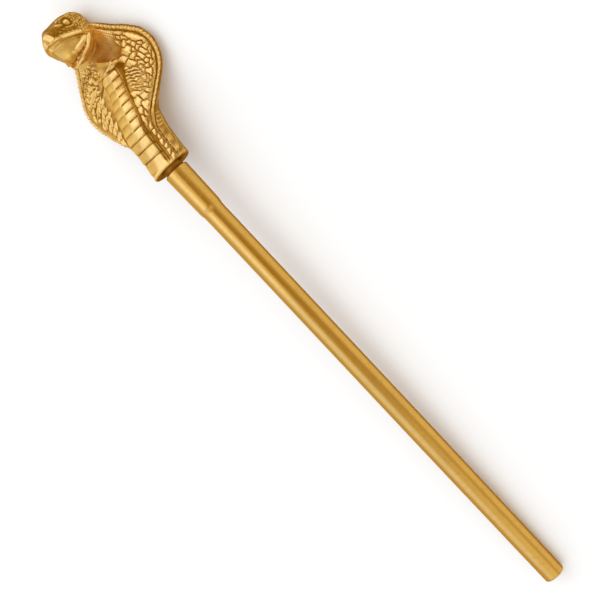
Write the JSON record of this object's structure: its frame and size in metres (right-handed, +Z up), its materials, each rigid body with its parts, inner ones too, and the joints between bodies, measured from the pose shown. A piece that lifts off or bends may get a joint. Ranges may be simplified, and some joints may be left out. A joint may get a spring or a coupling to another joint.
{
  "type": "cobra-head sceptre",
  "caption": "Costume sceptre: a straight round shaft whose upper end carries a moulded cobra head with its hood spread, all gold-coloured; it lies on its back.",
  "frame": {"origin": "on the surface that the sceptre lies on, under the middle of its bounding box", "axes": "+X along the sceptre's length towards the cobra's head, +Z up, with the cobra's belly side upwards and its left side towards -Y"},
  "size_m": [0.8304, 0.1528, 0.069],
  "materials": {
    "head_gold": "metallic gold finish on moulded plastic, darker in the carving",
    "shaft_gold": "smooth metallic gold finish on a plastic tube"
  },
  "bodies": {
    "root": {"cobra_head": "head_gold", "shaft": "shaft_gold"}
  },
  "joints": []
}
